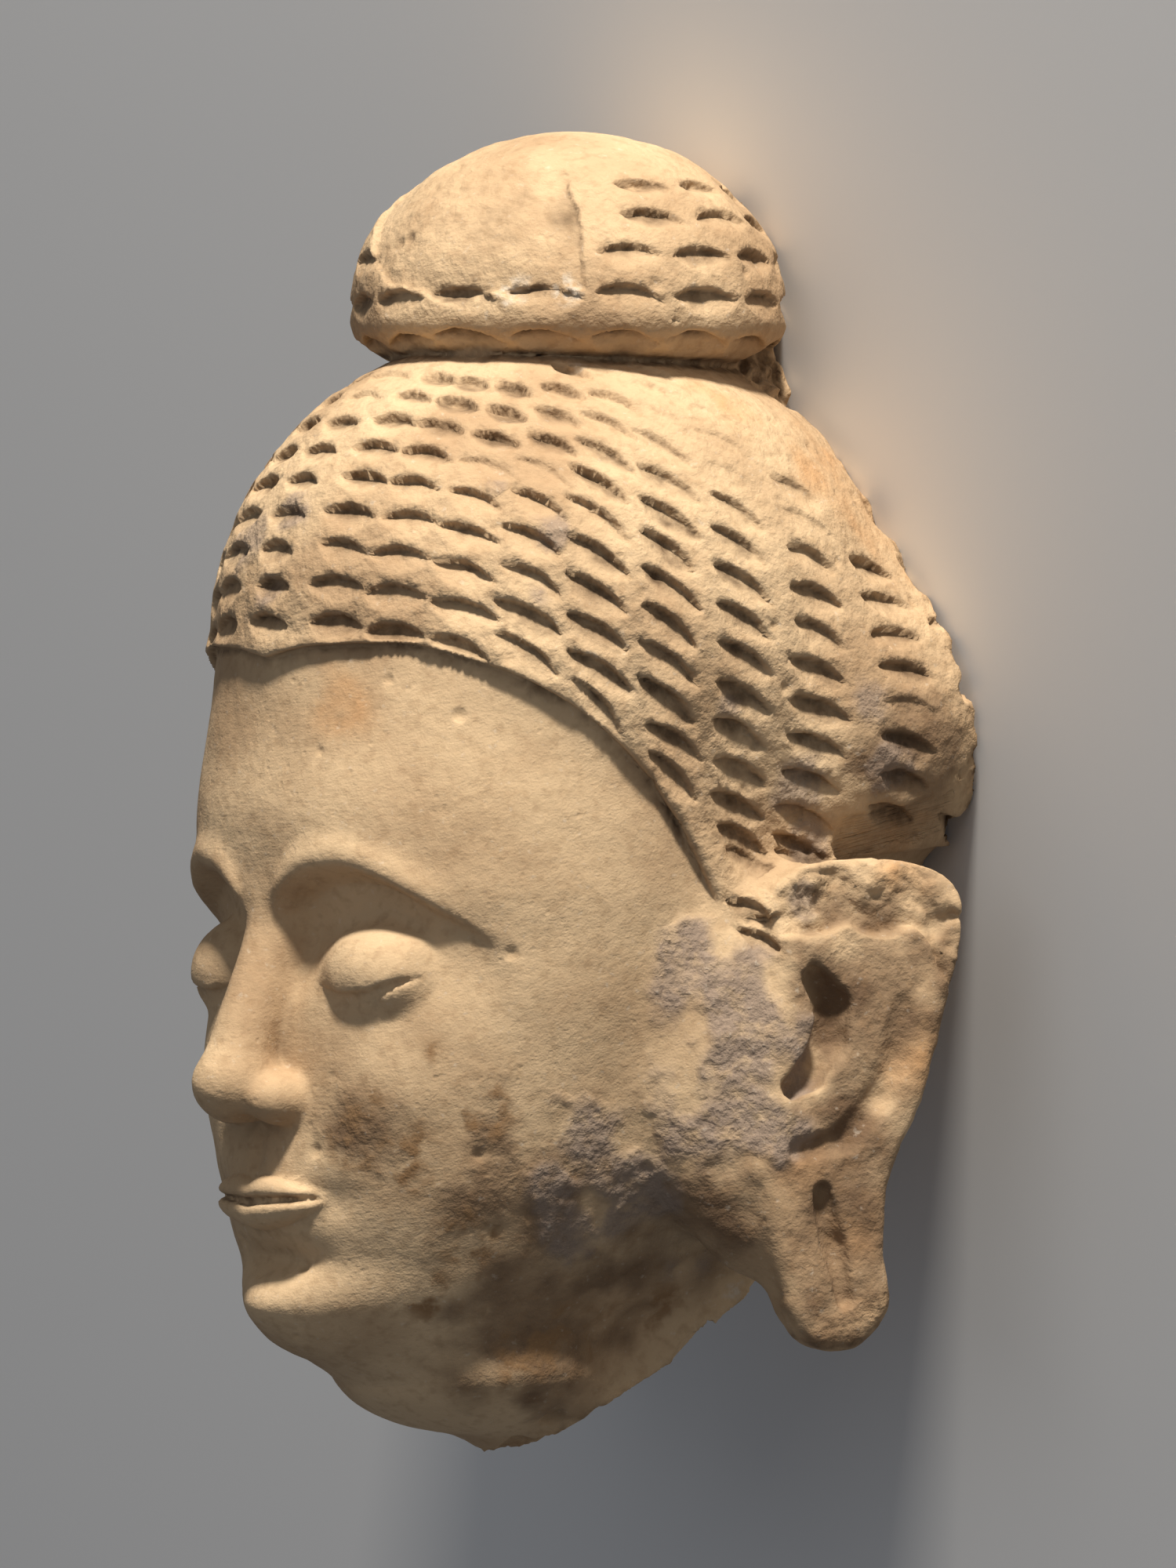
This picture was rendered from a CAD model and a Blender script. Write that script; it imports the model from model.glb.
import math
from concurrent.futures import ThreadPoolExecutor

import bpy
import numpy as np
from mathutils import Matrix, Vector


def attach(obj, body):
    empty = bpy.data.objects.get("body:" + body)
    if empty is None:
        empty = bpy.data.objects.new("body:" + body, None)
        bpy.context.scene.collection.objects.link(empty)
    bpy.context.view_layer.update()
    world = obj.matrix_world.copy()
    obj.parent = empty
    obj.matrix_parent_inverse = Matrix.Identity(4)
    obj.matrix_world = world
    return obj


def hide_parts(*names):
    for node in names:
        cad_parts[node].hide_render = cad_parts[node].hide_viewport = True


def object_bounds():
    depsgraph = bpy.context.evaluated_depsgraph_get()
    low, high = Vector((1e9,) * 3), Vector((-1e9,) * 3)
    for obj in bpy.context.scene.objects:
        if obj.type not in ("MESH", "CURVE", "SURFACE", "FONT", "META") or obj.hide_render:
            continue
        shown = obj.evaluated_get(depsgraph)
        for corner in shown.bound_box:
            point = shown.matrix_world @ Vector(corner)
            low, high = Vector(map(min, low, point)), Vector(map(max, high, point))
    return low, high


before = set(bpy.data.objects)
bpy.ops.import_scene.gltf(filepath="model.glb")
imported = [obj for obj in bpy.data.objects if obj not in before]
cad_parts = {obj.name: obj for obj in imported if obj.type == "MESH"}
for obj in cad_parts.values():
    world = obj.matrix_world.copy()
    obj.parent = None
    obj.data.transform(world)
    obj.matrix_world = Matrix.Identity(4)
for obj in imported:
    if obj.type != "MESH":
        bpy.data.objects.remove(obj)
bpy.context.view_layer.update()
print("frame loaded")

# The head, in units of a form 332 high: x to its left, y to its back, z up.
head = {
    "height": 0.332,            # metres, upright
    "slant": 13.0,              # degrees the back break leans
    "depth": 72.0,              # where the back break passes, level with the brow
    "gridStep": 1.6,
    "low": (-112, -132, -8),    # corners of the box that the skin is looked for in
    "high": (112, 104, 338),
    "triangles": 192000,
    "hairStep": 3.2,            # how far the hair stands over the forehead
    "lockLength": 14.6,
    "lockSpread": 1.02,
    "lockHeight": 5.6,
    "lockDepth": 3.3,
    "filledLocks": 0.10,        # share of the locks that dirt half fills
    "widestLock": 1.36,         # how much longer than lockLength a lock may grow
    "middleLock": 1.10,         # the same, over the middle of the forehead
    "hairlineLean": 13.0,       # degrees that the locks at the temple's hairline lean more
    "rowRise": 9.5,
    "lockColumns": 11,
    "lockRows": 14,
    "crownTop": 283.0,
    "knotLift": 5.0,
    "knotRadius": 55.5,
    "knotRise": 44.0,
    "knotUnder": 17.0,
    "knotRows": 5,
    "knotLockSpread": 0.93,
    "undersideDepth": 1.35,     # how much deeper the lowest row of the topknot is cut
    "undersideHeight": 1.25,
    "chips": 9.0,               # how far the broken rims are chipped
    "unevenness": 1.0,
    "grain": 0.22,
    "earGrain": 1.2,
    "pits": 150,
    "bareDepth": 1.4,           # how deep the flaked patch of the topknot lies
    "pole": 25.0,               # the axis that the columns of locks turn about
    "lidStep": 1.7,
    "faceRound": (81.0, 97.0, 5.0),     # half width, depth and middle of the oval that bearings go by
    "seed": 7,
}

hairlineAt = ((0, 198), (12, 200.5), (28, 201), (42, 196), (55, 186), (66, 171), (76, 150),
              (84, 128), (92, 116), (100, 120), (112, 148), (180, 152))
lockBase = ((2, 207), (20, 206), (28, 200.5), (37, 190), (46, 176.5), (56, 162), (69, 147.5),
            (85, 134), (104, 126), (130, 124))
# How far a lock leans down towards the back, by bearing.
lockLean = ((0, 0), (18, 0), (30, 12), (44, 26), (58, 30), (70, 22), (86, 14), (105, 8), (130, 4))
# Single locks in front of each ear, which follow no column: x, y, height.
sideLocks = ((75.5, -0.5, 136.5), (76.0, 2.5, 128.5))
# Level sections of the face: height, half width, front, middle, back.
faceSections = (
    (16, 6, -62, -56, -50),
    (20, 16, -76, -56, -30),
    (24, 24, -84.5, -44, 2),
    (30, 33, -91, -36, 16),
    (38, 41, -94.5, -26, 30),
    (48, 49, -93, -16, 44),
    (60, 55, -94.5, -12, 54),
    (72, 59.5, -95.5, -12, 58),
    (86, 62.5, -95, -14, 60),
    (100, 65, -94, -16, 60),
    (115, 67.5, -93.5, -18, 60),
    (130, 69, -95, -18, 60),
    (142, 70, -98, -18, 60),
    (156, 70, -98.5, -18, 60),
    (175, 69, -96, -18, 60),
    (198, 66, -90.5, -18, 60),
    (212, 56, -74, -18, 50),
)
browAt = ((0, 132), (5, 135.5), (12, 142.5), (20, 146.5), (29, 147.5), (38, 145), (46, 140), (56, 131))
upperLid = ((12, 119), (16, 117.2), (22, 115.4), (28, 114.6), (35, 115.2), (41, 117.4), (45, 119))
lowerLid = ((12, 119), (16, 115.6), (22, 112.9), (28, 111.9), (35, 113), (41, 116.4), (45, 119))

ear = {
    "turn": 20.0,
    "corner": (77.0, 6.0, 0.0),
    "thickness": 14.0,
    "lobe": (13.5, 39.5, 14.0),
    "lost": 4.0,                # depth of the break in the upper rim
}
# Where the upper rim has broken off: place along the ear, height.
earLedge = ((0, 127), (9, 127.6), (16, 130.8), (20, 128.6), (26, 127.8), (33, 129.4), (37, 126),
            (40, 118), (52, 112))
# The plate's rear and front edges: height, place along the ear.
earBack = ((39.5, 27.5), (50, 26.6), (62, 26.8), (70, 28.5), (88, 35.8), (110, 42), (130, 46), (136, 46))
earFront = ((39.5, -0.5), (60, -4.5), (70, -6), (82, -4), (90, -3), (149, 0))
# Grooves: how high over the plate, then points of place, height and radius.
earHollows = (
    (-1.0, ((6.3, 118.5, 3.8), (11.4, 111.4, 4.8), (10.9, 103.4, 5.0), (5.7, 95.4, 4.8), (0.4, 91.4, 3.6))),
    (2.0, ((2.5, 75.4, 3.0), (15.1, 78.4, 4.0), (23.6, 88.4, 4.4), (27.8, 98.4, 4.2), (29.9, 111, 3.2))),
    (-0.4, ((8.8, 65.0, 2.6), (12.0, 52.0, 3.0), (15.0, 38.5, 2.6))),
)


# 0 to 1 over the unit interval, smoothly.
def ramp(t):
    t = np.clip(t, 0.0, 1.0)
    return t * t * (3.0 - 2.0 * t)


def hump(t):
    return np.exp(-t * t)


# A smooth curve through points, with no overshoot.
def curve(x, points):
    px = np.array([q[0] for q in points], float)
    py = np.array([q[1] for q in points], float)
    width = np.diff(px)
    slope = np.diff(py) / width
    lean = np.zeros_like(py)
    lean[0] = slope[0]
    lean[-1] = slope[-1]
    for i in range(1, len(slope)):
        if slope[i - 1] * slope[i] > 0:
            a = 2 * width[i] + width[i - 1]
            b = width[i] + 2 * width[i - 1]
            lean[i] = (a + b) / (a / slope[i - 1] + b / slope[i])
    x = np.clip(x, px[0], px[-1])
    i = np.clip(np.searchsorted(px, x) - 1, 0, len(width) - 1)
    t = (x - px[i]) / width[i]
    t2 = t * t
    t3 = t2 * t
    return ((2 * t3 - 3 * t2 + 1) * py[i] + (t3 - 2 * t2 + t) * width[i] * lean[i]
            + (3 * t2 - 2 * t3) * py[i + 1] + (t3 - t2) * width[i] * lean[i + 1])


# Smooth noise between -1 and 1 over features of one size.
def noise(p, size, seed):
    q = p / size + 1000.0
    cell = np.floor(q).astype(np.int64)
    t = q - cell
    t = t * t * (3 - 2 * t)
    total = np.zeros(len(p))
    for a in (0, 1):
        for b in (0, 1):
            for c in (0, 1):
                h = (cell[:, 0] + a) * 73856093 ^ (cell[:, 1] + b) * 19349663 ^ (cell[:, 2] + c) * 83492791
                h = (h ^ (head["seed"] + seed) * 2654435761) & 0xFFFFFFFF
                h = (h * 1103515245 + 12345) & 0x7FFFFFFF
                h = ((h >> 9) * 1664525 + 1013904223) & 0xFFFFFF
                weight = ((t[:, 0] if a else 1 - t[:, 0]) * (t[:, 1] if b else 1 - t[:, 1])
                          * (t[:, 2] if c else 1 - t[:, 2]))
                total += weight * (h / 8388607.5 - 1)
    return total


def roughness(p, size, octaves, seed):
    total = np.zeros(len(p))
    weight = 1.0
    for i in range(octaves):
        total += weight * noise(p, size / 2 ** i, seed + 17 * i)
        weight *= 0.5
    return total


# The solids below are distances: negative inside, positive outside.
def ball(p, centre, radii):
    q = (p - np.array(centre, float)) / np.array(radii, float)
    k = np.linalg.norm(q, axis=-1)
    return k * (k - 1.0) / (np.linalg.norm(q / np.array(radii, float), axis=-1) + 1e-9)


def rod(p, start, end, startRadius, endRadius):
    start = np.array(start, float)
    span = np.array(end, float) - start
    t = np.clip(((p - start) @ span) / (span @ span), 0, 1)
    radius = startRadius + (endRadius - startRadius) * t
    return np.linalg.norm(p - start - t[..., None] * span, axis=-1) - radius


def join(a, b, soft):
    h = np.maximum(soft - np.abs(a - b), 0) / soft
    return np.minimum(a, b) - h * h * soft / 4


def common(a, b, soft):
    return -join(-a, -b, soft)


def cut(a, b, soft):
    return -join(-a, b, soft)


def mirrored(p):
    q = p.copy()
    q[..., 0] = np.abs(q[..., 0])
    return q


def hairMass(p):
    lean = math.radians(4.0)
    q = p - np.array((0.0, -3.0, 204.0))
    y = q[..., 1] * math.cos(lean) - q[..., 2] * math.sin(lean)
    z = q[..., 1] * math.sin(lean) + q[..., 2] * math.cos(lean)
    crown = ball(np.stack([q[..., 0], y, z], -1), (0, 0, 0), (82, 92, head["crownTop"] - 204))
    back = ball(p, (0, 42, 182), (84, 78, 60))
    return join(crown, back, 10)


# Bearing round the head, in degrees from the middle of the forehead.
def aroundFace(p):
    wide, deep, middle = head["faceRound"]
    return np.degrees(np.arctan2(np.abs(p[..., 0]) / wide, (middle - p[..., 1]) / deep))


def hairline(p):
    return curve(aroundFace(p), hairlineAt)


def faceOval(p):
    z = np.clip(p[..., 2], faceSections[0][0], faceSections[-1][0])
    wide, front, middle, back = [curve(z, [(row[0], row[i]) for row in faceSections]) for i in (1, 2, 3, 4)]
    power = 2.0 + 0.3 * ramp((z - 24) / 40)
    x = np.abs(p[..., 0]) / wide
    y = p[..., 1] - middle
    y = np.where(y < 0, y / (front - middle), y / (back - middle))
    k = (np.maximum(x, 1e-6) ** power + np.maximum(y, 1e-6) ** power) ** (1 / power)
    f = (k - 1) * np.minimum(wide, middle - front)
    return common(f, np.maximum(20 - p[..., 2], p[..., 2] - 212), 8)


# How far the brow, cheeks, lips and chin stand out from the oval.
def faceRelief(p):
    x = np.abs(p[..., 0])
    z = p[..., 2]
    below = curve(x, browAt) - z
    deep = 7.0 * ramp((x - 4) / 9) * (1 - 0.72 * ramp((x - 30) / 22)) * (1 - ramp((x - 52) / 8))
    out = -deep * ramp(below / 6.0) * (1 - ramp((below - 10) / 24))
    out += 1.5 * hump((below + 1.5) / 4.0) * ramp((x - 2) / 8) * (1 - ramp((x - 44) / 12))
    out -= 2.6 * hump((z - 48.5) / 4.2) * hump(x / 15)
    out += 2.2 * hump((z - 66) / 13) * hump(x / 19)
    out += 2.4 * hump((z - 36) / 8) * hump(x / 12)
    out += 2.6 * hump((z - 94) / 17) * hump((x - 36) / 15)
    out -= 1.3 * hump((z - 64.0) / 5.5) * hump((x - 22.0) / 6.0)
    out -= 0.9 * hump(x / 2.4) * ramp((z - 69) / 3) * ramp((82 - z) / 3)
    across = np.clip(1 - (x / 20.5) ** 2, 0, 1)
    parting = 63.4 - 0.5 * hump(x / 3) + 0.8 * (x / 20) ** 2
    top = parting + 6.4 * across ** 0.75 - 1.1 * hump(x / 2.6)
    low = parting - 7.6 * across ** 0.7
    up = np.clip((z - parting) / np.maximum(top - parting, 0.5), 0, 1)
    down = np.clip((parting - z) / np.maximum(parting - low, 0.5), 0, 1)
    upper = 2.6 * np.sqrt(np.clip(1 - (2 * up - 0.75) ** 2 / 1.5625, 0, 1)) * (z <= top + 0.6)
    lower = 3.0 * np.sqrt(np.clip(1 - (2 * down - 0.9) ** 2 / 1.21, 0, 1)) * (z >= low - 0.6)
    out += np.where(x < 20.5, np.where(z >= parting, upper, lower), 0) * np.clip(across * 2.2, 0, 1)
    out -= 1.3 * hump((z - parting) / 0.9) * np.clip(across * 3, 0, 1)
    return out


def headMass(p):
    q = mirrored(p)
    f = hairMass(p) + head["hairStep"]      # the skull under the hair
    oval = faceOval(p) - faceRelief(p) * ramp((-30 - p[..., 1]) / 30)
    f = join(f, oval, 8)
    nape = np.hypot(q[..., 0] / 45, (q[..., 1] - 28) / 52) * 47 - 47
    nape = np.maximum(nape, q[..., 2] - 190)
    f = join(f, nape, 16)
    f = join(f, ball(q, (0, -31, 20.5), (37, 36, 18)), 14)                  # under the chin
    f = join(f, ball(q, (0, 25, 122), (68, 62, 70)), 12)                    # behind the cheeks
    f = join(f, rod(q, (0, -90.5, 137), (0, -105.5, 94), 6.0, 8.0), 6)      # bridge of the nose
    f = join(f, ball(q, (0, -104, 91.5), (8.6, 11.5, 8.4)), 5)
    f = join(f, ball(q, (9.4, -97.5, 88.5), (6.4, 9.5, 6.4)), 3)
    f = cut(f, ball(q, (5.2, -103, 82.0), (2.6, 5, 3.0)), 2)                # nostrils
    x = q[..., 0]
    z = q[..., 2]
    lids = head["lidStep"] * ramp((z - curve(x, upperLid)) / 0.9) + 1.0 * ramp((curve(x, lowerLid) - z) / 0.9)
    eye = ball(q, (28, -75.5, 119), (17.5, 16.5, 13.2)) - lids * ramp((17.5 - np.abs(x - 28.5)) / 3)
    return join(f, eye, 2)


# A point's place along, out of and up the ear.
def earFrame(p):
    turn = math.radians(ear["turn"])
    d = mirrored(p) - np.array(ear["corner"])
    along = d @ np.array((math.sin(turn), math.cos(turn), 0.0))
    out = d @ np.array((math.cos(turn), -math.sin(turn), 0.0))
    return along, out, d[..., 2]


def earPlate(p):
    along, out, up = earFrame(p)
    edge = np.maximum(along - curve(up, earBack), curve(up, earFront) - along)
    lobe = np.hypot(along - ear["lobe"][0], up - ear["lobe"][1]) - ear["lobe"][2]
    across = np.abs((along - 21.5) / 24.8) ** 2.6
    top = ((across + np.maximum((up - 134) / 13.5, 0) ** 2.6) ** (1 / 2.6) - 1) * 14
    edge = np.where(up < ear["lobe"][1], lobe, np.where(up > 134, top, edge))
    bend = 1 + 0.003 * (along - 20) ** 2
    slab = np.abs(out - bend) - ear["thickness"] / 2
    f = common(edge, slab, 5)
    # The upper rim has broken away on the seen side, down to a ledge with one peak.
    ledge = curve(along, earLedge) - up
    near = (p[..., 0] > 60) & (ledge < 3) & (f < 8)
    rough = 1.7 * roughness(p[near], 6.0, 3, 61) * ramp(-ledge[near] / 5.0 - 0.6)
    lost = out[near] - bend[near] - ear["thickness"] / 2 + ear["lost"] * ramp(-ledge[near] / 2.0) + rough
    f[near] = np.where(ledge[near] < 0, common(f[near], lost, 0.6), f[near])
    return f


def earCuts(p):
    along, out, up = earFrame(p)
    q = np.stack([along, out, up], -1)
    found = None
    for lift, path in earHollows:
        groove = None
        for a, b in zip(path[:-1], path[1:]):
            level = [1 + ear["thickness"] / 2 + 0.003 * (end[0] - 20) ** 2 + lift for end in (a, b)]
            piece = rod(q, (a[0], level[0], a[1]), (b[0], level[1], b[1]), a[2], b[2])
            groove = piece if groove is None else join(groove, piece, 2)
        found = groove if found is None else np.minimum(found, groove)
    return found


knotLevel = head["crownTop"] + head["knotLift"]
formHeight = knotLevel + head["knotRise"]
breakLevel = 180.0


def topknot(p):
    r = np.hypot(p[..., 0], p[..., 1])
    z = p[..., 2] - knotLevel
    high = np.where(z > 0, head["knotRise"], head["knotUnder"])
    power = np.where(z > 0, 2.05, 3.4)
    across = np.maximum(r / head["knotRadius"], 1e-6)
    k = (across ** power + np.maximum(np.abs(z) / high, 1e-6) ** power) ** (1 / power)
    return (k - 1) * np.hypot(r, z) / np.maximum(k, 0.2)


def backBreak(p):
    slant = math.radians(head["slant"])
    return (p[..., 1] - head["depth"]) * math.cos(slant) + (p[..., 2] - breakLevel) * math.sin(slant)


def neckBreak(p):
    x = p[..., 0]
    y = p[..., 1]
    uneven = 2.2 * np.sin(x / 11.0 + 0.6) * np.cos(y / 13.0) + 1.3 * np.sin(x / 5.7 - y / 8.0)
    return (y + 24) * 0.62 - p[..., 2] * 0.78 + uneven


# A snapped face: rough, and chipped where it meets the skin.
def snapped(mass, lost, p, rough, seed):
    f = common(mass, lost, 0.6)
    near = (np.abs(lost) < 14) & (mass < 14)
    q = p[near]
    inner = mass[near]
    face = lost[near]
    face = face + np.maximum(rough * (0.35 + roughness(q, 16.0, 3, seed)), 0)
    bite = roughness(q, 13.0, 2, seed + 5)
    rim = (mass[near] + lost[near]) * 0.7071 + head["chips"] * (np.abs(bite) - 0.12)
    f[near] = np.maximum(np.maximum(inner, face), rim)
    return f


def whole(p):
    q = mirrored(p)
    bare = snapped(headMass(p), neckBreak(p), p, 1.4, 31)
    skin = join(bare, ball(q, (60, 18, 112), (20, 28, 44)), 10)             # behind the ear
    skin = join(skin, earPlate(p), 5)
    skin = join(skin, ball(q, (66, 4, 92), (14, 24, 46)), 15)               # before the ear
    skin = cut(skin, earCuts(p), 1.5)
    hair = common(np.minimum(hairMass(p), bare - head["hairStep"]), hairline(p) - p[..., 2], 1.2)
    f = join(skin, hair, 1.0)
    f = join(f, topknot(p), 1.6)
    f = join(f, ball(q, (10, 37, head["crownTop"] - 14), (23, 19, 18)), 3)   # behind the knot's waist
    return snapped(f, backBreak(p), p, 2.0, 43)


def sampled(field, points):
    batch = 40000
    parts = [points[i:i + batch] for i in range(0, len(points), batch)]
    with ThreadPoolExecutor(4) as pool:
        return np.concatenate(list(pool.map(field, parts)))


# Cells that meet at a corner only are filled, so that the skin stays closed.
def withoutCornerTouches(inside):
    for _ in range(6):
        changed = False
        for axis in range(3):
            first, second = [i for i in range(3) if i != axis]
            corner = []
            for a in (0, 1):
                for b in (0, 1):
                    part = [slice(None)] * 3
                    part[first] = slice(a, inside.shape[first] - 1 + a)
                    part[second] = slice(b, inside.shape[second] - 1 + b)
                    corner.append(tuple(part))
            one, two, three, four = [inside[part] for part in corner]
            touch = (one == four) & (two == three) & (one != two)
            if touch.any():
                changed = True
                for part in corner:
                    inside[part] |= touch
        if not changed:
            break
    return inside


# A closed skin of quads round the inside of a field, each point in the middle of its cell.
def skinned(field, low, high, step):
    coarse = 4              # how many fine steps a coarse one spans
    low = np.array(low, float)
    count = np.ceil((np.array(high, float) - low) / (step * coarse)).astype(int) * coarse + 1
    rough = (count - 1) // coarse + 1
    axes = [low[i] + step * coarse * np.arange(rough[i]) for i in range(3)]
    grid = np.stack(np.meshgrid(*axes, indexing="ij"), -1).reshape(-1, 3)
    value = sampled(field, grid).reshape(rough)
    near = [np.clip((np.arange(count[i]) + coarse // 2) // coarse, 0, rough[i] - 1) for i in range(3)]
    value = value[np.ix_(*near)]
    close = np.abs(value) < step * coarse * 1.8
    value[close] = sampled(field, low + np.argwhere(close) * step)
    inside = withoutCornerTouches(value < 0)
    value = np.where(inside, np.minimum(value, -0.02 * step), np.maximum(value, 0.02 * step))
    total = np.zeros(count - 1, np.int8)
    for a in (0, 1):
        for b in (0, 1):
            for c in (0, 1):
                total += inside[a:count[0] - 1 + a, b:count[1] - 1 + b, c:count[2] - 1 + c]
    crossed = (total > 0) & (total < 8)
    cells = np.argwhere(crossed)
    index = np.full(count - 1, -1)
    index[crossed] = np.arange(len(cells))
    added = np.zeros((len(cells), 3))
    hits = np.zeros(len(cells))
    for axis in range(3):
        first, second = [i for i in range(3) if i != axis]
        for a in (0, 1):
            for b in (0, 1):
                start = np.zeros(3, int)
                start[first] = a
                start[second] = b
                end = start.copy()
                end[axis] = 1
                v0 = value[tuple((cells + start).T)]
                v1 = value[tuple((cells + end).T)]
                crosses = (v0 < 0) != (v1 < 0)
                t = np.where(crosses, v0 / np.where(crosses, v0 - v1, 1), 0)
                at = cells + start + t[:, None] * (end - start)
                added[crosses] += at[crosses]
                hits[crosses] += 1
    points = low + added / hits[:, None] * step
    faces = []
    for axis in range(3):
        first = (axis + 1) % 3
        second = (axis + 2) % 3
        here = [slice(None)] * 3
        there = [slice(None)] * 3
        here[axis] = slice(0, -1)
        there[axis] = slice(1, None)
        edges = np.argwhere(inside[tuple(here)] != inside[tuple(there)])
        u = np.zeros(3, int)
        u[first] = 1
        w = np.zeros(3, int)
        w[second] = 1
        corners = [edges - u - w, edges - w, edges, edges - u]
        quad = np.stack([index[tuple(corner.T)] for corner in corners], 1)
        turned = ~inside[tuple(edges.T)]
        quad[turned] = quad[turned][:, ::-1]
        faces.append(quad)
    return points, np.concatenate(faces)


# Which way a field grows at each point.
def slopes(field, points):
    span = 0.05
    found = np.empty_like(points)
    for i in range(3):
        shift = np.zeros(3)
        shift[i] = span
        found[:, i] = (sampled(field, points + shift) - sampled(field, points - shift)) / (2 * span)
    return found


# Points moved onto the field's surface, by no more than a given length, and their normals.
def settled(field, points, most):
    slope = slopes(field, points)
    size = np.maximum((slope * slope).sum(1), 0.05)
    move = -(sampled(field, points) / size)[:, None] * slope
    length = np.linalg.norm(move, axis=1, keepdims=True)
    points = points + move * np.minimum(1, most / np.maximum(length, 1e-9))
    return points, slope / np.maximum(np.linalg.norm(slope, axis=1, keepdims=True), 1e-6)


# Each quad becomes four.
def halved(points, faces):
    edges = np.concatenate([faces[:, [0, 1]], faces[:, [1, 2]], faces[:, [2, 3]], faces[:, [3, 0]]])
    pairs, index = np.unique(np.sort(edges, 1), axis=0, return_inverse=True)
    count = len(faces)
    side = (index.reshape(-1) + len(points)).reshape(4, count).T
    centre = np.arange(count) + len(points) + len(pairs)
    more = np.concatenate([points, points[pairs].mean(1), points[faces].mean(1)])
    quads = [np.stack([faces[:, i], side[:, i], centre, side[:, i - 1]], 1) for i in range(4)]
    return more, np.concatenate(quads)


# Where rays from a middle leave a field.
def reach(field, centre, directions, far):
    near = np.zeros(len(directions))
    out = np.full(len(directions), far)
    for _ in range(22):
        half = (near + out) / 2
        inside = field(centre + directions * half[:, None]) < 0
        near = np.where(inside, half, near)
        out = np.where(inside, out, half)
    return centre + directions * near[:, None]


# A line up the hair at one bearing, and the length run along it.
def meridian(turn):
    tilt = np.radians(np.linspace(150, 0, 160))
    side = math.radians(turn)
    directions = np.stack([np.sin(tilt) * math.sin(side), -np.sin(tilt) * math.cos(side), np.cos(tilt)], 1)
    line = reach(hairMass, np.array((0.0, head["pole"], 190.0)), directions, 160.0)
    run = np.concatenate([[0], np.cumsum(np.linalg.norm(np.diff(line, axis=0), axis=1))])
    return line, run


def atRun(line, run, length):
    return np.array([np.interp(length, run, line[:, i]) for i in range(3)])


# The bearing of a column of locks, in degrees.
def columnTurn(column):
    size = abs(column)
    if not size:
        return 0.0
    return math.copysign(2.5 + 8.6 * size + 0.36 * max(0.0, size - 4.0) ** 2.6, column)


def hairColumn(side, column):
    turn = columnTurn(column)
    line, run = meridian(side * turn)
    under = np.nonzero(line[:, 2] <= curve(turn, lockBase))[0]
    low = under[-1] + 1 if len(under) else 0
    return line[low:], run[low:] - run[low]


# Each lock: place, direction along it, length, height, depth and twist.
def hairLocks(random):
    found = []
    for side in (1, -1):
        for column in range(0 if side > 0 else 1, head["lockColumns"]):
            line, run = hairColumn(side, column)
            turn = columnTurn(column)
            gap = math.radians(columnTurn(column + 0.5) - columnTurn(column - 0.5 if column else -0.5))
            widest = head["widestLock"] if column else head["middleLock"]
            for row in range(head["lockRows"]):
                place = atRun(line, run, head["rowRise"] * row)
                if place[2] > head["crownTop"] - 12 or place[1] > 80 or np.hypot(place[0], place[1]) < 44:
                    break
                if scraped(place[None])[0] > 0.2:
                    continue
                low = ramp(1.0 - (place[2] - hairline(place[None])[0] - 4) / 16)
                low = low * ramp((turn - 24) / 14) * ramp((76 - turn) / 10)
                lean = math.radians(curve(turn, lockLean) + head["hairlineLean"] * low)
                level = (side * math.cos(math.radians(turn)), math.sin(math.radians(turn)), -math.tan(lean))
                worn = 1.0 - 0.75 * ramp((place[2] - 218) / 40) * ramp((place[1] + 42) / 40)
                away = np.hypot(place[0], place[1] - head["pole"])
                room = gap * away * head["lockSpread"] / math.cos(lean) ** 2.4
                length = min(room, widest * head["lockLength"]) * random.uniform(0.92, 1.06)
                place = place + np.array(level) * random.normal(0, 0.6)
                depth = head["lockDepth"] * worn * random.uniform(0.8, 1.12)
                if random.uniform() < head["filledLocks"]:
                    depth *= 0.45
                high = head["lockHeight"] * random.uniform(0.9, 1.08)
                found.append((place, np.array(level), length, high, depth, random.normal(0, 2.5)))
        for x, y, z in sideLocks:
            level = np.array((side * 0.1, 1.0, -0.53))
            place = np.array((side * x, y, z))
            length = head["lockLength"] * 0.85
            found.append((place, level, length, head["lockHeight"], head["lockDepth"], 0.0))
    return found


# How far inside the flaked patch at the front of the topknot, in units of the form.
def bareInside(p):
    turn = np.degrees(np.arctan2(p[:, 0], -p[:, 1]))
    z = p[:, 2]
    left = curve(z, ((280, 8), (291, -4), (306, -23), (318, -40)))
    low = curve(turn, ((-40, 293), (-4, 291), (25, 287.5), (55, 289.5)))
    right = curve(z, ((280, 56), (306, 57), (320, 51)))
    around = np.minimum(turn - left, right - turn) * np.hypot(p[:, 0], p[:, 1]) * math.pi / 180
    return np.minimum(around, z - low)


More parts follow.
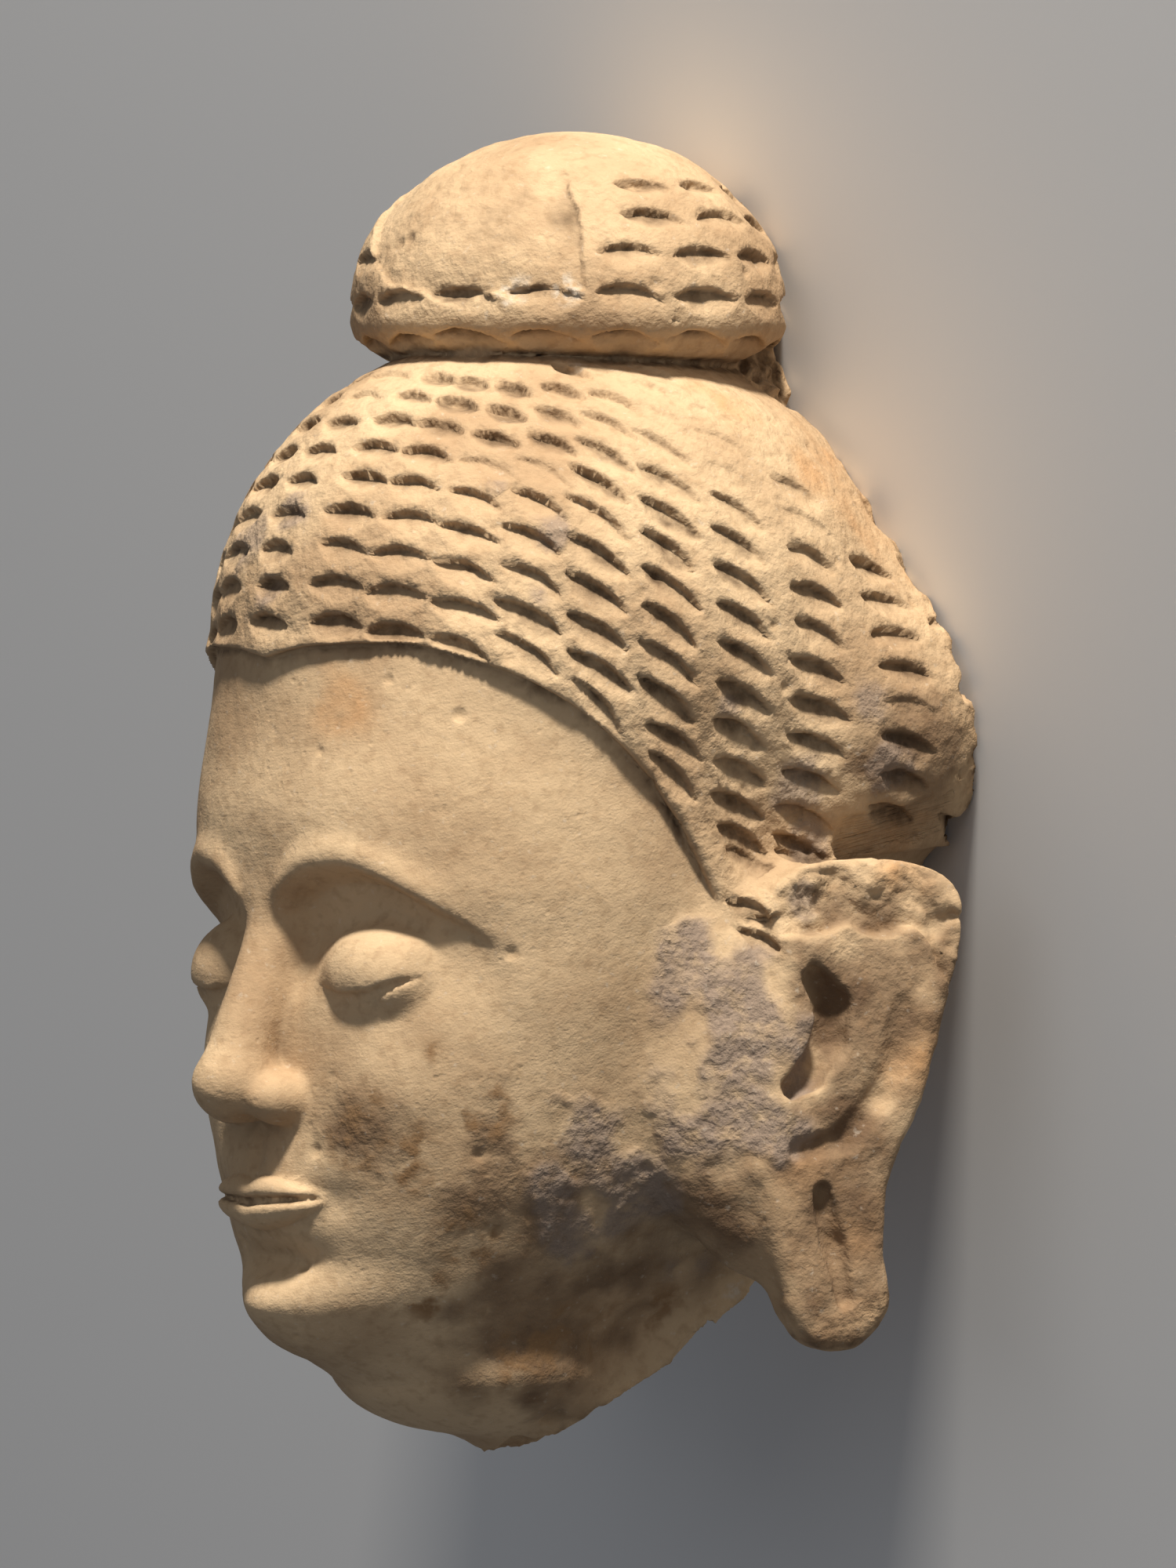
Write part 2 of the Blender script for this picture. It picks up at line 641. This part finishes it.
def knotLocks(random):
    found = []
    centre = np.array((0.0, 0.0, knotLevel))
    for row in range(head["knotRows"]):
        tilt = math.radians(99 - 11.5 * row)
        ring = 16 if row < 3 else 14
        deeper = 1.0 if row else head["undersideDepth"]
        high = head["lockHeight"] * (0.95 if row else head["undersideHeight"])
        for i in range(ring):
            turn = 2 * math.pi * (i + 0.05) / ring
            side = math.sin(tilt)
            direction = np.array((side * math.sin(turn), -side * math.cos(turn), math.cos(tilt)))
            place = reach(topknot, centre, direction[None], 90.0)[0]
            if row > 1 and bareInside(place[None])[0] > -4:
                continue
            along = np.array((math.cos(turn), math.sin(turn), 0.0))
            length = head["knotLockSpread"] * 2 * math.pi / ring * np.hypot(place[0], place[1])
            length = length * random.uniform(0.9, 1.05)
            depth = head["lockDepth"] * random.uniform(0.75, 1.0) * deeper
            found.append((place, along, length, high, depth, random.normal(0, 3.0)))
    return found


# How deep the locks' crescent cuts are at each point: a steep wall above, a floor that slopes out below.
def lockCuts(points, normal, locks):
    deep = np.zeros(len(points))
    wobble = roughness(points, 3.0, 2, 5)
    for place, along, length, height, depth, twist in locks:
        close = np.nonzero((np.abs(points - place) < length * 0.8).all(1))[0]
        if not len(close):
            continue
        nearest = close[np.argmin(np.linalg.norm(points[close] - place, axis=1))]
        face = normal[nearest]
        place = place + face * (face @ (points[nearest] - place))
        along = along - face * (along @ face)
        along = along / np.linalg.norm(along)
        up = np.cross(face, along)
        up = up if up[2] > 0 else -up
        twist = math.radians(twist)
        along, up = (along * math.cos(twist) + up * math.sin(twist),
                     up * math.cos(twist) - along * math.sin(twist))
        away = points[close] - place
        a = away @ along / (length / 2)
        b = away @ up / height + 0.45 + 0.04 * wobble[close]
        arch = np.clip(1 - a * a, 0, 1)
        top = 0.52 * arch - 0.10 * a - 0.02
        low = -0.92 * arch ** 0.8 - 0.10 * a - 0.02
        t = (top - b) / np.maximum(top - low, 0.02)
        cutting = depth * (1 - 0.22 * a) * ramp(t / 0.14) * np.clip(1 - t, 0, 1) ** 1.1 * arch ** 0.4
        facing = (normal[close] @ face) > 0.3
        deep[close] = np.maximum(deep[close], np.where((np.abs(a) < 1) & (t > 0) & facing, cutting, 0))
    onHair = ramp((points[:, 2] - hairline(points) + 1.0) / 2.0)
    return deep * ramp((-backBreak(points) - 1.0) / 4.0) * onHair


# Spots of one kind of wear: middle x, y, z and radius. Their edges wander.
def spotted(p, spots, edge, seed):
    inside = np.zeros(len(p))
    wander = roughness(p, 9.0, 3, seed)
    for x, y, z, radius in spots:
        away = np.linalg.norm(p - np.array((x, y, z)), axis=1) / radius
        inside = np.maximum(inside, ramp((1 - away + 0.45 * wander) / edge))
    return inside


crustSpots = ((80, -2, 100, 13), (80, 0, 84, 13), (76, -5, 115, 13), (72, -8, 92, 16), (74, -6, 108, 15),
              (70, -8, 78, 14), (67.9, -13.7, 114.4, 15), (68, -8.7, 100.4, 15), (68.6, -1.6, 86.4, 14),
              (75.4, 0.7, 106.4, 12), (68.5, -16.7, 126.4, 10), (61, -38.8, 82.4, 13),
              (61.3, -13.7, 82.4, 16), (56.9, -25.4, 66.4, 15), (51.8, -39.2, 54.4, 10),
              (42.4, -1.4, 46.4, 9), (55.4, -49.7, 66.4, 8), (56, 8, 70, 9))
roughSpots = ((72, 25, 148, 5), (80, 17, 144, 7), (82, 12, 140, 7), (79, 9, 133, 5),
              (32, 41, 270, 15), (22, 46, 266, 12))


# A strip above the left ear that a tool dragged flat.
def scraped(p):
    across = p[:, 2] - (151.5 + (p[:, 1] - 25) * 0.20)
    inside = ramp((p[:, 0] - 52) / 6) * ramp((p[:, 1] - 27) / 3) * ramp((66 - p[:, 1]) / 3)
    return inside * ramp((5.5 - np.abs(across) + 1.5 * roughness(p, 8.0, 2, 71)) / 1.5)


# Sparse pits, at places drawn from the surface itself.
def pits(p, random, count, small, large):
    deep = np.zeros(len(p))
    for middle in p[random.choice(len(p), count, replace=False)]:
        radius = random.uniform(small, large)
        near = np.nonzero((np.abs(p - middle) < radius * 1.6).all(1))[0]
        away = np.linalg.norm(p[near] - middle, axis=1) / radius
        deep[near] = np.maximum(deep[near], 0.42 * radius * ramp(1.25 - away))
    return deep


# How far wear and crust move the surface out.
def weathered(p, random):
    hair = ramp((p[:, 2] - hairline(p)) / 4)
    wave = head["unevenness"] * roughness(p, 26.0, 2, 11) * (0.45 + 0.55 * hair)
    onEar = ramp((np.abs(p[:, 0]) - 70) / 8) * ramp((142 - p[:, 2]) / 8)
    grain = head["grain"] * roughness(p, 5.5, 3, 12) * (0.4 + 0.8 * hair + head["earGrain"] * onEar)
    wave = wave + 0.25 * onEar * roughness(p, 13.0, 2, 13)
    crust = spotted(p, crustSpots, 0.3, 21)
    crust = crust * (0.22 + 0.34 * roughness(p, 3.4, 3, 22))
    torn = spotted(p, roughSpots, 0.5, 23) * (3.0 * roughness(p, 6.5, 3, 24) - 0.4)
    bare = head["bareDepth"] * ramp((bareInside(p) + 1.3 * roughness(p, 7.0, 2, 25)) / 1.1)
    bare = bare * (1 - ramp((p[:, 2] - 315) / 8)) * (topknot(p) < 4)
    lost = bare + 0.9 * scraped(p) + pits(p, random, head["pits"], 1.0, 2.2)
    return wave + grain + crust + torn - lost


# Lays the upright form down on its back break, in metres.
def lying():
    slant = math.radians(head["slant"])
    faceUp = Matrix(((1, 0, 0, 0), (0, 0, 1, 0), (0, -1, 0, 0), (0, 0, 0, 1)))
    over = Matrix.Rotation(-slant, 4, "X") @ faceUp
    foot = Matrix.Translation((0.0, -head["depth"], -breakLevel))
    return Matrix.Scale(head["height"] / formHeight, 4) @ over @ foot


random = np.random.default_rng(head["seed"])
points, faces = skinned(whole, head["low"], head["high"], head["gridStep"])
points, normal = settled(whole, points, head["gridStep"] * 0.5)
print("skin", len(points))
points, faces = halved(points, faces)
points, normal = settled(whole, points, head["gridStep"] * 0.4)
print("fine skin", len(points))
locks = hairLocks(random) + knotLocks(random)
deep = lockCuts(points, normal, locks)
points = points + normal * (weathered(points, random) - deep)[:, None]
below = np.maximum(backBreak(points), 0)        # nothing stands past the plane it lies on
slant = math.radians(head["slant"])
points = points - below[:, None] * np.array((0, math.cos(slant), math.sin(slant)))
print("locks", len(locks))

mesh = bpy.data.meshes.new("fine")
mesh.from_pydata(points.tolist(), [], faces.tolist())
fine = bpy.data.objects.new("fine", mesh)
bpy.context.scene.collection.objects.link(fine)
thin = fine.modifiers.new("thin", "DECIMATE")
thin.ratio = head["triangles"] / (2 * len(faces))
carved = bpy.data.meshes.new_from_object(fine.evaluated_get(bpy.context.evaluated_depsgraph_get()))
bpy.data.objects.remove(fine, do_unlink=True)
carved.name = "stuccoHead"
print("thinned", len(carved.polygons))

# Where the skin is grey, stained, warm, whitened, darker or red.
greySpots = ((64.2, -59.1, 212.4, 4), (52.2, -62.3, 238.4, 3), (63.8, -53.6, 228.4, 5),
             (82.8, 30.5, 186.4, 7), (79.6, -10.2, 186.4, 5), (20.8, -63.2, 261.4, 3),
             (0.7, -88.1, 235.4, 6), (76.1, 12.9, 166.4, 8), (-17, -89.5, 226.4, 10),
             (-1.1, -94.3, 214.4, 6), (82.2, 38.6, 170.4, 8), (75, 22, 152, 8), (84, 9, 137, 6))
stainSpots = ((32.6, -90.2, 88.4, 9), (39.4, -82.8, 72.4, 12), (45.3, -67.1, 54.4, 13),
              (27.6, -91.4, 78.4, 8), (53.1, -68.1, 86.4, 10), (46.7, -78.3, 100.4, 6),
              (35.3, -34, 26.4, 16), (37.1, -4.9, 36.4, 12), (35.8, -69.9, 38.4, 10),
              (-50, -60, 60, 16), (-62, -30, 90, 12))
warmSpots = ((58.9, 36.4, 246.4, 22), (61.4, 49.7, 230.4, 20), (66.9, 63.2, 214.4, 16),
             (58.7, 6.1, 258.4, 15), (95.7, 33.1, 142.4, 12), (92, 30.9, 96.4, 16),
             (87.2, 9.3, 72.4, 14), (91, 21.5, 54.4, 14), (74, 50, 154.4, 12), (26.2, -90.3, 186.4, 12),
             (-40, -60, 240, 26), (-60, 30, 220, 24), (-90, 20, 90, 20))
whiteSpots = ((71.3, -48.1, 197.4, 2.0), (55.1, -3.7, 290.4, 1.6), (44.2, 18.8, 38.4, 2.2),
              (34, -44, 289.4, 5), (43, -34.5, 289.6, 4.5), (39.7, -27.2, 270.4, 3),
              (46.1, -57.6, 250.4, 2.4))
dullSpots = ((92, 26, 112, 34), (88, 14, 80, 24), (89, 18, 50, 26), (55, -10, 60, 34), (40, -40, 34, 34),
             (50, -50, 70, 26), (30, -80, 82, 18), (80, 45, 170, 20), (-92, 26, 112, 34),
             (-89, 18, 50, 26), (-50, -20, 50, 40))
redSpots = ((49.6, -70.5, 74.4, 1.3),)


# How strongly each kind of wear and dirt shows, read by the finish.
def marks(mesh):
    p = np.empty(len(mesh.vertices) * 3, np.float32)
    mesh.vertices.foreach_get("co", p)
    p = p.reshape(-1, 3).astype(float)
    normal = np.empty(len(p) * 3, np.float32)
    mesh.vertex_normals.foreach_get("vector", normal)
    normal = normal.reshape(-1, 3)
    hollow = np.clip(1 - sampled(whole, p + normal * 3.0) / 3.0, 0, 1)
    broken = ramp((backBreak(p) + 5) / 3) + ramp((neckBreak(p) + 2.5) / 2) * (topknot(p) > 40)
    found = {
        "hollow": ramp((hollow - 0.36) / 0.56),
        "crust": np.maximum(spotted(p, crustSpots, 0.45, 21), 0.8 * spotted(p, greySpots, 0.4, 51)),
        "stain": spotted(p, stainSpots, 0.6, 52),
        "warm": np.maximum(spotted(p, warmSpots, 0.9, 53), 0.5 * np.clip(broken, 0, 1)),
        "white": spotted(p, whiteSpots, 0.5, 54),
        "red": spotted(p, redSpots, 0.5, 55),
        "hair": ramp((p[:, 2] - hairline(p)) / 4),
        "rough": np.clip(spotted(p, roughSpots, 0.5, 23) + 0.7 * np.clip(broken, 0, 1), 0, 1),
        "scraped": scraped(p),
        "dull": spotted(p, dullSpots, 0.7, 56),
    }
    for name, value in found.items():
        mesh.attributes.new(name, "FLOAT", "POINT").data.foreach_set("value", value.astype(np.float32))


marks(carved)
print("marked")

toRow = lying()
carved.transform(toRow)
height = [v.co.y for v in carved.vertices]
low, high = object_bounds()
shift = (low[1] + high[1]) / 2 - (min(height) + max(height)) / 2
toRow = Matrix.Translation((0, shift, 0)) @ toRow
carved.transform(Matrix.Translation((0, shift, 0)))
carved.shade_smooth()

finish = {
    "cream": (0.585, 0.415, 0.243),
    "tan": (0.425, 0.282, 0.158),
    "warmTint": (0.520, 0.275, 0.115),
    "crustTint": (0.265, 0.198, 0.150),
    "faded": (0.165, 0.100, 0.055),
    "stainTint": (0.260, 0.150, 0.070),
    "grime": (0.085, 0.050, 0.026),
    "whiteTint": (0.640, 0.560, 0.450),
    "redTint": (0.450, 0.120, 0.060),
    "roughness": 0.93,
    "specular": 0.25,
}
stucco = bpy.data.materials.new("stucco")
stucco.use_nodes = True
tree = stucco.node_tree
shader = tree.nodes["Principled BSDF"]
surface = tree.nodes.new("ShaderNodeTexCoord").outputs["Object"]


# A node whose inputs take a socket or a value.
def fed(node, inputs):
    for name, value in inputs.items():
        if isinstance(value, bpy.types.NodeSocket):
            tree.links.new(value, node.inputs[name])
        else:
            node.inputs[name].default_value = value
    return node


def cloud(scale, detail, stretch=None):
    where = surface
    if stretch:
        where = fed(tree.nodes.new("ShaderNodeMapping"), {"Vector": surface, "Scale": stretch}).outputs[0]
    noisy = tree.nodes.new("ShaderNodeTexNoise")
    return fed(noisy, {"Vector": where, "Scale": scale, "Detail": detail}).outputs["Fac"]


# A value between low and high becomes 0 to 1.
def spread(value, low, high):
    ranged = tree.nodes.new("ShaderNodeMapRange")
    return fed(ranged, {"Value": value, "From Min": low, "From Max": high}).outputs[0]


def combined(operation, a, b):
    node = tree.nodes.new("ShaderNodeMath")
    node.operation = operation
    return fed(node, {0: a, 1: b}).outputs[0]


# How strongly one kind of wear shows, from the mesh.
def mark(name):
    node = tree.nodes.new("ShaderNodeAttribute")
    node.attribute_name = name
    return node.outputs["Fac"]


def tinted(base, tint, amount):
    node = tree.nodes.new("ShaderNodeMix")
    node.data_type = "RGBA"
    tree.links.new(amount, node.inputs[0])
    if isinstance(base, bpy.types.NodeSocket):
        tree.links.new(base, node.inputs[6])
    else:
        node.inputs[6].default_value = (*base, 1)
    node.inputs[7].default_value = (*finish[tint], 1)
    return node.outputs[2]


def times(a, b):
    return combined("MULTIPLY", a, b)


colour = tinted(finish["cream"], "tan", spread(cloud(26.0, 8.0), 0.40, 0.62))
colour = tinted(colour, "warmTint", times(mark("warm"), spread(cloud(70.0, 6.0), 0.35, 0.80)))
colour = tinted(colour, "faded", times(mark("dull"), spread(cloud(45.0, 8.0), 0.14, 0.58)))
colour = tinted(colour, "stainTint", times(spread(cloud(330.0, 8.0), 0.50, 0.70), 0.30))
colour = tinted(colour, "stainTint", times(mark("stain"), spread(cloud(150.0, 10.0), 0.47, 0.60)))
crusted = times(mark("crust"), spread(cloud(240.0, 10.0), 0.18, 0.52))
colour = tinted(colour, "crustTint", times(crusted, 0.88))
colour = tinted(colour, "whiteTint", times(spread(cloud(520.0, 4.0), 0.64, 0.76), 0.3))
dirty = times(mark("hollow"), spread(cloud(210.0, 6.0), 0.18, 0.70))
colour = tinted(colour, "grime", times(dirty, 0.9))
colour = tinted(colour, "grime", times(mark("rough"), spread(cloud(260.0, 7.0), 0.46, 0.72)))
colour = tinted(colour, "whiteTint", times(mark("white"), spread(cloud(420.0, 4.0), 0.42, 0.75)))
colour = tinted(colour, "redTint", mark("red"))
tree.links.new(colour, shader.inputs["Base Color"])
shader.inputs["Roughness"].default_value = finish["roughness"]
shader.inputs["Specular IOR Level"].default_value = finish["specular"]


def bumped(height, strength, depth, under=None):
    node = fed(tree.nodes.new("ShaderNodeBump"), {"Height": height, "Strength": strength, "Distance": depth})
    if under:
        tree.links.new(under, node.inputs["Normal"])
    return node.outputs[0]


hole = fed(tree.nodes.new("ShaderNodeTexVoronoi"), {"Vector": surface, "Scale": 330.0}).outputs["Distance"]
hole = combined("MAXIMUM", spread(hole, 0.05, 0.28), spread(cloud(60.0, 2.0), 0.60, 0.50))
normal = bumped(hole, 0.22, 0.0006)
uneven = combined("MAXIMUM", mark("hair"), mark("dull"))
coarse = times(cloud(300.0, 6.0), combined("ADD", times(uneven, 0.7), 0.35))
crumbled = times(combined("MAXIMUM", mark("rough"), mark("crust")), cloud(520.0, 5.0))
coarse = combined("ADD", coarse, crumbled)
normal = bumped(coarse, 0.6, 0.0016, normal)
normal = bumped(cloud(1700.0, 3.0), 0.35, 0.0003, normal)
normal = bumped(cloud(1.0, 3.0, (260.0, 1500.0, 900.0)), 0.30, 0.0003, normal)
lines = times(cloud(1.0, 2.0, (300.0, 1300.0, 60.0)), mark("scraped"))
normal = bumped(lines, 1.0, 0.0016, normal)
tree.links.new(normal, shader.inputs["Normal"])
carved.materials.clear()
carved.materials.append(stucco)
stuccoHead = bpy.data.objects.new("stuccoHead", carved)
bpy.context.scene.collection.objects.link(stuccoHead)
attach(stuccoHead, "root")
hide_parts("head")
print("head made")

# Stage: a pale floor, soft light and the camera.
stage = {
    "floorColour": (0.74, 0.73, 0.71),
    "turn": 52.0,               # bearing of the camera round the upright head
    "unit": 0.0002,             # metres in the head's plane for one step of a 1500 by 2000 frame
    "distance": 2.2,
    "floorRoughness": 0.95,
    "lampDistance": 2.4,
    "key": {"way": (0.02, 0.85, 0.47), "size": 0.28, "power": 104, "colour": (1.0, 0.95, 0.88)},
    "fill": {"way": (-0.4, 0.3, 0.85), "size": 1.4, "power": 6, "colour": (0.95, 0.97, 1.0)},
    "worldColour": (0.8, 0.85, 0.95),
    "worldStrength": 0.18,
}
floorMesh = bpy.data.meshes.new("floor")
floorMesh.from_pydata([(-6, -6, 0), (6, -6, 0), (6, 6, 0), (-6, 6, 0)], [], [(0, 1, 2, 3)])
floor = bpy.data.objects.new("floor", floorMesh)
bpy.context.scene.collection.objects.link(floor)
pale = bpy.data.materials.new("paleFloor")
pale.use_nodes = True
floorShader = pale.node_tree.nodes["Principled BSDF"]
floorShader.inputs["Base Color"].default_value = (*stage["floorColour"], 1.0)
floorShader.inputs["Roughness"].default_value = stage["floorRoughness"]
floorMesh.materials.append(pale)

turn = math.radians(stage["turn"])
rot = toRow.to_3x3().normalized()
right = rot @ Vector((math.cos(turn), math.sin(turn), 0))
back = rot @ Vector((math.sin(turn), -math.cos(turn), 0))
up = back.cross(right)
axisFoot = toRow @ Vector((0, 0, 0))
middle = axisFoot + right * 25 * stage["unit"] + up * 832 * stage["unit"]
camera = bpy.data.cameras.new("camera")
camera.sensor_width = 36
camera.lens = 36 * stage["distance"] / (2000 * stage["unit"])
camera.clip_end = 50
viewer = bpy.data.objects.new("camera", camera)
bpy.context.scene.collection.objects.link(viewer)
facing = Matrix((right, up, back)).transposed().to_4x4()
viewer.matrix_world = Matrix.Translation(middle + back * stage["distance"]) @ facing
bpy.context.scene.camera = viewer


# A soft lamp; its way is right, up and towards the camera in the picture.
def lamp(name):
    chosen = stage[name]
    light = bpy.data.lights.new(name, "AREA")
    light.size = chosen["size"]
    light.energy = chosen["power"]
    light.color = chosen["colour"]
    made = bpy.data.objects.new(name, light)
    bpy.context.scene.collection.objects.link(made)
    across, rise, near = chosen["way"]
    way = (right * across + up * rise + back * near).normalized()
    made.location = middle + way * stage["lampDistance"]
    made.rotation_mode = "QUATERNION"
    made.rotation_quaternion = (-way).to_track_quat("-Z", "Y")


lamp("key")
lamp("fill")
world = bpy.data.worlds.new("world")
world.use_nodes = True
sky = world.node_tree.nodes["Background"]
sky.inputs["Color"].default_value = (*stage["worldColour"], 1)
sky.inputs["Strength"].default_value = stage["worldStrength"]
bpy.context.scene.world = world
bpy.context.scene.view_settings.view_transform = "Standard"
print("stage set")
